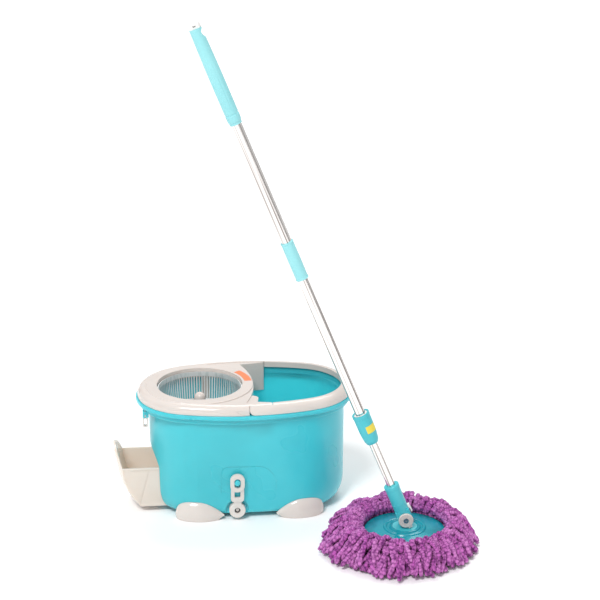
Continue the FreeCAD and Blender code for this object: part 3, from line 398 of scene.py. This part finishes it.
def make_strand():
    """One straight strand along X from 0 to 1, its rings swelling and narrowing in turn."""
    bpy.ops.object.select_all(action="DESELECT")
    bpy.ops.mesh.primitive_cylinder_add(vertices=STRAND_SIDES, radius=1.0, depth=1.0,
                                        location=(0.5, 0, 0), rotation=(0, math.pi / 2, 0))
    strand = bpy.context.object
    bpy.ops.object.transform_apply(location=True, rotation=True, scale=True)
    bpy.ops.object.mode_set(mode="EDIT")
    bpy.ops.mesh.select_mode(type="EDGE")
    bpy.ops.mesh.select_all(action="DESELECT")
    bpy.ops.object.mode_set(mode="OBJECT")
    points = strand.data.vertices
    for edge in strand.data.edges:
        a, b = (points[i].co.x for i in edge.vertices)
        edge.select = abs(a - b) > 0.5
    bpy.ops.object.mode_set(mode="EDIT")
    bpy.ops.mesh.subdivide(number_cuts=STRAND_CUTS)
    bpy.ops.mesh.select_mode(type="VERT")
    last = STRAND_CUTS + 1
    for ring in range(last + 1):
        width = BLUNT_END if ring in (0, last) else KNOB_WIDE if ring % 2 else KNOB_NARROW
        bpy.ops.mesh.select_all(action="DESELECT")
        bpy.ops.object.mode_set(mode="OBJECT")
        for point in points:
            point.select = round(point.co.x * last) == ring
        bpy.ops.object.mode_set(mode="EDIT")
        bpy.ops.transform.resize(value=(1.0, width, width), center_override=(ring / last, 0, 0))
    bpy.ops.object.mode_set(mode="OBJECT")
    bpy.ops.object.shade_smooth()
    return strand


def chenille():
    """Microfibre chenille: violet pile in tufts, with painted shade darkening the gaps between
    them, and a pale sheen on the fibre tips. Its pattern is counted in tufts, along and round each
    strand."""
    material = new_material("microfibre_chenille_painted_gap_shade")
    lie = add_node(material, "ShaderNodeAttribute", {"attribute_name": "along_and_round"})
    tufts = add_node(material, "ShaderNodeTexVoronoi", {"Scale": 1.0, "Randomness": 0.7},
                     {"Vector": (lie, "Vector")})
    fibre = add_node(material, "ShaderNodeTexNoise", {"Scale": FIBRES_PER_TUFT, "Detail": 2.0},
                     {"Vector": (lie, "Vector")})
    strand_tone = add_node(material, "ShaderNodeAttribute", {"attribute_name": "strand_tone"})
    # Painted shade: each ramp darkens from a tuft's middle to its edge, so the gaps between tufts
    # are painted dark
    deep = add_node(material, "ShaderNodeValToRGB",
                    {"stops": ((0.28, "#bd5db3"), (0.78, "#55195a"))},
                    {"Fac": (tufts, "Distance")})
    pale = add_node(material, "ShaderNodeValToRGB",
                    {"stops": ((0.28, "#da90d0"), (0.78, "#853981"))},
                    {"Fac": (tufts, "Distance")})
    mixed = add_node(material, "ShaderNodeMix", {"data_type": "RGBA"},
                     {"Factor": (strand_tone, "Fac"), 6: (deep, "Color"), 7: (pale, "Color")})
    hollow = add_node(material, "ShaderNodeMath", {"operation": "MULTIPLY", 1: -1.0},
                      {0: (tufts, "Distance")})
    height = add_node(material, "ShaderNodeMath", {"operation": "MULTIPLY_ADD", 1: FIBRE_SHARE},
                      {0: (fibre, "Fac"), 2: (hollow, "Value")})
    bump = add_node(material, "ShaderNodeBump", {"Strength": 0.9, "Distance": PILE_DEPTH},
                    {"Height": (height, "Value")})
    pile = add_node(material, "ShaderNodeBsdfPrincipled",
                    {"Roughness": 0.9, "Sheen Weight": 0.25, "Sheen Roughness": 0.5,
                     "Sheen Tint": linear("#e8a8e4"), "Specular IOR Level": 0.2},
                    {"Base Color": (mixed, 2), "Normal": (bump, "Normal")})
    add_node(material, "ShaderNodeOutputMaterial", links={"Surface": (pile, "BSDF")})
    return material


def lay_strand(template, start, middle, end, wander, radius, tone, shift):
    """A copy of the straight strand, bent along its path, with its own shade."""
    mesh = template.data.copy()
    run = (middle - start).length + (end - middle).length
    lie = []
    side = (end - start).cross(Vector((0, 0, 1))).normalized()
    sway, waves, phase = wander

    def spot(t):
        arch = start * (1 - t) ** 2 + middle * 2 * t * (1 - t) + end * t * t
        return arch + side * sway * t * math.sin(math.pi * (waves * t + phase))

    for point in mesh.vertices:
        t, across, up = point.co
        lie.append(Vector((t * run / TUFT_LONG, across * radius / TUFT_WIDE,
                           up * radius / TUFT_WIDE + shift)))
        ahead = (spot(t + LOOK_AHEAD) - spot(t - LOOK_AHEAD)).normalized()
        left = ahead.cross(Vector((0, 0, 1))).normalized()
        over = left.cross(ahead)
        point.co = spot(t) + (left * across + over * up) * radius
    pattern = mesh.attributes.new("along_and_round", "FLOAT_VECTOR", "POINT")
    pattern.data.foreach_set("vector", [value for place in lie for value in place])
    shade = mesh.attributes.new("strand_tone", "FLOAT", "POINT")
    shade.data.foreach_set("value", [tone] * len(mesh.vertices))
    strand = bpy.data.objects.new("strand", mesh)
    bpy.context.scene.collection.objects.link(strand)
    return strand


# Rows from the top fringe down: count, start radius and height, reach, end height, bend height
STRAND_ROWS = (
    (56, 0.082, 0.047, 0.122, 0.046, 0.078),
    (78, 0.083, 0.044, 0.140, 0.030, 0.080),
    (88, 0.085, 0.038, 0.152, 0.014, 0.070),
    (96, 0.088, 0.030, 0.156, 0.008, 0.052),
    (100, 0.090, 0.018, 0.154, 0.005, 0.026),
)
# The head is pushed flat: it reaches furthest to the left, is short in front and rides up behind
LONG_SIDE, EXTRA_REACH, SHORT_FRONT, BACK_LIFT = math.radians(160), 0.011, 0.012, 0.010
END_LIFT_SHARE = 0.4
# How far a strand is sewn from its even place, in spacings, and the turn from row to row
SEWN_PLAY, ROW_TURN = 0.4, 0.21
# How far each strand strays: its splay, reach, thickness, end height, bend height and sway
SPLAY, REACH_PLAY, THICKNESS_PLAY = 0.17, (-0.020, 0.003), (0.9, 1.12)
END_PLAY, BEND_PLAY, SWAY, WAVES = (-0.007, 0.009), 0.006, 0.010, (1.2, 2.6)
# The palest strand's share of the paler colour, and the step in pattern from strand to strand
PALEST, PATTERN_SHIFT = 0.8, 10.0

violet = chenille()
template = make_strand()
template.data.materials.append(violet)
ground = Vector((HEAD.x, HEAD.y, 0))
for row, (count, first_r, first_z, reach, last_z, bend_z) in enumerate(STRAND_ROWS, start=1):
    laid = []
    for i in range(count):
        place = i + random.uniform(-SEWN_PLAY, SEWN_PLAY)
        angle = 2 * math.pi * place / count + row * ROW_TURN
        spread = angle + random.uniform(-SPLAY, SPLAY)
        out = Vector((math.cos(angle), math.sin(angle), 0))
        end_out = Vector((math.cos(spread), math.sin(spread), 0))
        last_r = reach + EXTRA_REACH * math.cos(angle - LONG_SIDE) - SHORT_FRONT * max(0.0, -out.y)
        last_r += random.uniform(*REACH_PLAY)
        raised = BACK_LIFT * max(0.0, out.y)
        radius = STRAND_R * random.uniform(*THICKNESS_PLAY)
        start = ground + out * first_r + Vector((0, 0, first_z))
        end_z = last_z + raised * END_LIFT_SHARE + random.uniform(*END_PLAY)
        end = ground + end_out * last_r + Vector((0, 0, max(radius * KNOB_WIDE, end_z)))
        bend_r = (first_r + last_r) / 2
        middle_z = bend_z + raised + random.uniform(-BEND_PLAY, BEND_PLAY)
        middle = ground + (out + end_out) * 0.5 * bend_r + Vector((0, 0, middle_z))
        wander = (random.uniform(-SWAY, SWAY), random.uniform(*WAVES), random.uniform(0, 1))
        tone = random.uniform(0.0, PALEST)
        laid.append(lay_strand(template, start, middle, end, wander, radius, tone,
                               PATTERN_SHIFT * i))
    bpy.ops.object.select_all(action="DESELECT")
    for strand in laid:
        strand.select_set(True)
    bpy.context.view_layer.objects.active = laid[0]
    bpy.ops.object.join()
    strands = bpy.context.object
    strands.name = f"strand_row_{row}"
    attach(strands, "mop_head")
    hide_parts("mop_strands")
bpy.data.objects.remove(template)
